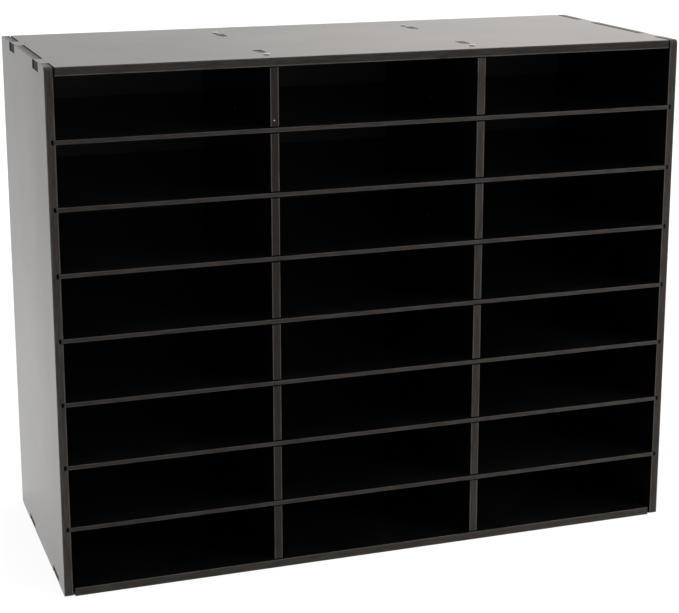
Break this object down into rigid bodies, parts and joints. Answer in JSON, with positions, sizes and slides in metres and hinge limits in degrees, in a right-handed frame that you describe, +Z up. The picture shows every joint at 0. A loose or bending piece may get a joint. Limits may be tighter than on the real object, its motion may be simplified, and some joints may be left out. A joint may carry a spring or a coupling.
{
  "type": "literature organizer",
  "caption": "Open-fronted black case of thin panels with three columns of flat compartments for paper, on shelves that slide out of grooved sides and lap over two dividers.",
  "frame": {"origin": "middle of the footprint, on the surface that the case stands on", "axes": "+X to the user's right, +Y from the open front to the back, +Z up"},
  "size_m": [0.743, 0.298, 0.5938],
  "materials": {
    "black_board": "black satin melamine faces on fibreboard, with matt charcoal-brown cut edges",
    "hardboard_back": "thin hardboard with a smooth black face",
    "screw_steel": "bright zinc-plated steel",
    "nail_steel": "plain bright steel wire"
  },
  "bodies": {
    "case": {"left_side_panel": "black_board", "right_side_panel": "black_board", "top_panel": "black_board", "bottom_panel": "black_board", "back_panel": "hardboard_back", "divider_1": "black_board", "divider_2": "black_board", "top_screws": "screw_steel", "bottom_screws": "screw_steel", "back_panel_nails": "nail_steel"},
    "shelf_1": {"shelf_1": "black_board"},
    "shelf_2": {"shelf_2": "black_board"},
    "shelf_3": {"shelf_3": "black_board"},
    "shelf_4": {"shelf_4": "black_board"},
    "shelf_5": {"shelf_5": "black_board"},
    "shelf_6": {"shelf_6": "black_board"},
    "shelf_7": {"shelf_7": "black_board"}
  },
  "joints": [
    {"name": "shelf_1_slide", "type": "slide", "parent": "case", "child": "shelf_1", "axis": [0, -1, 0], "range_m": [0, 0.29]},
    {"name": "shelf_2_slide", "type": "slide", "parent": "case", "child": "shelf_2", "axis": [0, -1, 0], "range_m": [0, 0.29]},
    {"name": "shelf_3_slide", "type": "slide", "parent": "case", "child": "shelf_3", "axis": [0, -1, 0], "range_m": [0, 0.29]},
    {"name": "shelf_4_slide", "type": "slide", "parent": "case", "child": "shelf_4", "axis": [0, -1, 0], "range_m": [0, 0.29]},
    {"name": "shelf_5_slide", "type": "slide", "parent": "case", "child": "shelf_5", "axis": [0, -1, 0], "range_m": [0, 0.29]},
    {"name": "shelf_6_slide", "type": "slide", "parent": "case", "child": "shelf_6", "axis": [0, -1, 0], "range_m": [0, 0.29]},
    {"name": "shelf_7_slide", "type": "slide", "parent": "case", "child": "shelf_7", "axis": [0, -1, 0], "range_m": [0, 0.29]}
  ]
}
